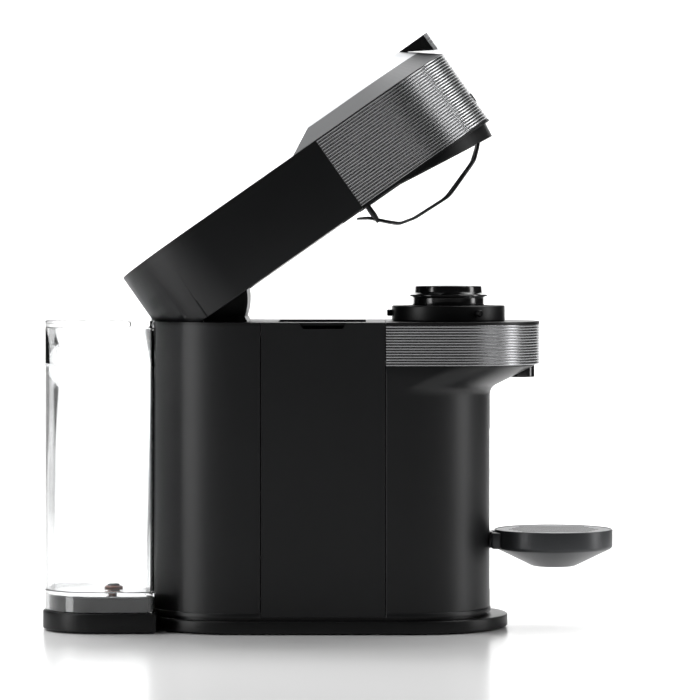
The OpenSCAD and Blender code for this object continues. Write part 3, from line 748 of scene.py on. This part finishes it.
def base():
    """Foot plate with rounded rims, hollow below, and the narrower neck of the shadow gap."""
    feet = ((-105, 40), (-105, -40), (100, 40), (100, -40))
    rear_x, front_x, top = BODY_REAR_X - 0.6, 64.3, 10.3
    plate_r, neck_r, sides = 71, 67, 64
    rings = rounded_rings(lambda inset: stadium(rear_x, front_x, plate_r - inset, sides),
                          1.0, top, 1.3)
    neck = [(stadium(BODY_REAR_X, COLUMN_X, neck_r, sides), z) for z in (top, NECK_Z)]
    plate = loft("foot_plate", rings + neck)
    hollow = loft("hollow", [(stadium(rear_x, front_x, neck_r), z) for z in (0, top - 3)])
    for x, y in feet:
        cut(hollow, placed(round_tool(0, 11, -1, top + 2), x, y))
    cut(plate, hollow)
    for x, y in feet:
        cut(plate, placed(round_tool(0, 8.2, -1, 3), x, y))
    finish_piece(plate, "machine", "satin_black", ["base_plate"])


def pedestal():
    """Tank's foot with rounded rims, and the seat that stands up inside the clear skirt."""
    foot = loft("pedestal_foot", rounded_rings(
        lambda i: tank_outline(i - 1.5, BODY_REAR_X - 0.6, 72.5), 1.0, 15.3, 1.6))
    seat = loft("pedestal_seat", rounded_rings(lambda i: tank_outline(3.6 + i), 15.2, 27.0, 1.0,
                                               bottom=False))
    for part in (foot, seat):
        cut(part, placed(round_tool(0, 9, -1, 40), VALVE_X, 0))
    finish_piece(joined([foot, seat]), "machine", "gloss_black", ["tank_pedestal"],
                 look="satin_black")


head_cover()
arm()
rear_body()
column_body()
brew_band()
collar()
capsule_cup()
spout()
cup_stand()
hoop()
tank()
lid()
valve()
base()
pedestal()


# ---------- stage, lights and camera ----------

def stage():
    """Plain pale floor that turns up into a backdrop far behind, as one soft sweep."""
    front, depth, height, radius, half_width, turns = -1.4, 2.4, 3.2, 1.1, 1.1, 24
    path = [(front, 0.0), (depth - radius, 0.0)]
    path += [(depth - radius + radius * math.sin(a), radius - radius * math.cos(a))
             for a in (math.radians(90 * i / turns) for i in range(1, turns + 1))]
    path.append((depth, height))
    bm = bmesh.new()
    rows = [[bm.verts.new((x, y, z)) for y, z in path] for x in (-half_width, half_width)]
    for i in range(len(path) - 1):
        face = bm.faces.new((rows[0][i], rows[1][i], rows[1][i + 1], rows[0][i + 1]))
        face.smooth = True
    mesh = bpy.data.meshes.new("floor")
    bm.to_mesh(mesh)
    bm.free()
    floor = new_object("floor", mesh)
    floor.data.materials.append(floor_material())


def floor_material():
    """Pale lacquered board: almost white, with a faint soft reflection."""
    material, nodes, links, shader = base_material("floor")
    wash = noise(nodes, links, scale=1.5, detail=2.0)
    ramp = nodes.new("ShaderNodeValToRGB")
    ramp.color_ramp.elements[0].color = (0.90, 0.90, 0.90, 1)
    ramp.color_ramp.elements[1].color = (0.93, 0.93, 0.93, 1)
    links.new(wash.outputs["Fac"], ramp.inputs["Fac"])
    links.new(ramp.outputs["Color"], shader.inputs["Base Color"])
    shader.inputs["Roughness"].default_value = 0.22
    return material


def area_light(name, place, target, size, power):
    light = bpy.data.lights.new(name, "AREA")
    light.shape = "RECTANGLE"
    light.size, light.size_y = size
    light.energy = power
    obj = bpy.data.objects.new(name, light)
    bpy.context.scene.collection.objects.link(obj)
    obj.location = place
    aim = Vector(target) - Vector(place)
    obj.rotation_euler = aim.to_track_quat("-Z", "Y").to_euler()


def lights():
    """Soft box overhead, a tall strip at each side, and lamps that wash floor and backdrop."""
    middle = (0.0, 0.0, 0.2)
    area_light("over", (-0.62, 0.35, 1.75), middle, (2.0, 1.2), 25)
    area_light("left_strip", (-1.7, -0.8, 0.45), middle, (0.6, 1.5), 16)
    area_light("right_strip", (1.85, -0.12, 0.45), middle, (0.45, 1.5), 12)
    area_light("right_high", (1.3, -0.5, 1.5), middle, (0.7, 0.7), 5)
    area_light("backdrop_wash", (0.0, 0.9, 2.3), (0.0, 2.3, 0.5), (4.0, 0.6), 62)
    area_light("floor_wash", (0.0, 0.9, 1.9), (0.0, 1.1, 0.0), (4.0, 0.8), 34)
    world = bpy.data.worlds.new("room")
    world.use_nodes = True
    nodes, links = world.node_tree.nodes, world.node_tree.links
    room = nodes["Background"]
    room.inputs["Color"].default_value = (1, 1, 1, 1)
    room.inputs["Strength"].default_value = 0.03
    pale = nodes.new("ShaderNodeBackground")
    pale.inputs["Color"].default_value = (1, 1, 1, 1)
    pale.inputs["Strength"].default_value = 1.0
    ray = nodes.new("ShaderNodeLightPath")
    seen = nodes.new("ShaderNodeMath")
    seen.operation = "MAXIMUM"
    links.new(ray.outputs["Is Camera Ray"], seen.inputs[0])
    links.new(ray.outputs["Is Transmission Ray"], seen.inputs[1])
    mix = nodes.new("ShaderNodeMixShader")
    links.new(seen.outputs["Value"], mix.inputs["Fac"])
    links.new(room.outputs["Background"], mix.inputs[1])
    links.new(pale.outputs["Background"], mix.inputs[2])
    links.new(mix.outputs["Shader"], nodes["World Output"].inputs["Surface"])
    bpy.context.scene.world = world
    bpy.context.scene.view_settings.view_transform = "Standard"


def camera():
    """Long lens, level with the head, looking along +Y and framing the whole machine."""
    data = bpy.data.cameras.new("camera")
    data.sensor_width = 36.0
    data.lens = 193.7
    data.shift_y = -0.150
    obj = bpy.data.objects.new("camera", data)
    bpy.context.scene.collection.objects.link(obj)
    obj.location = (0.0159, -2.856, 0.2888)
    obj.rotation_euler = (math.radians(90), 0, 0)
    bpy.context.scene.camera = obj


stage()
lights()
camera()
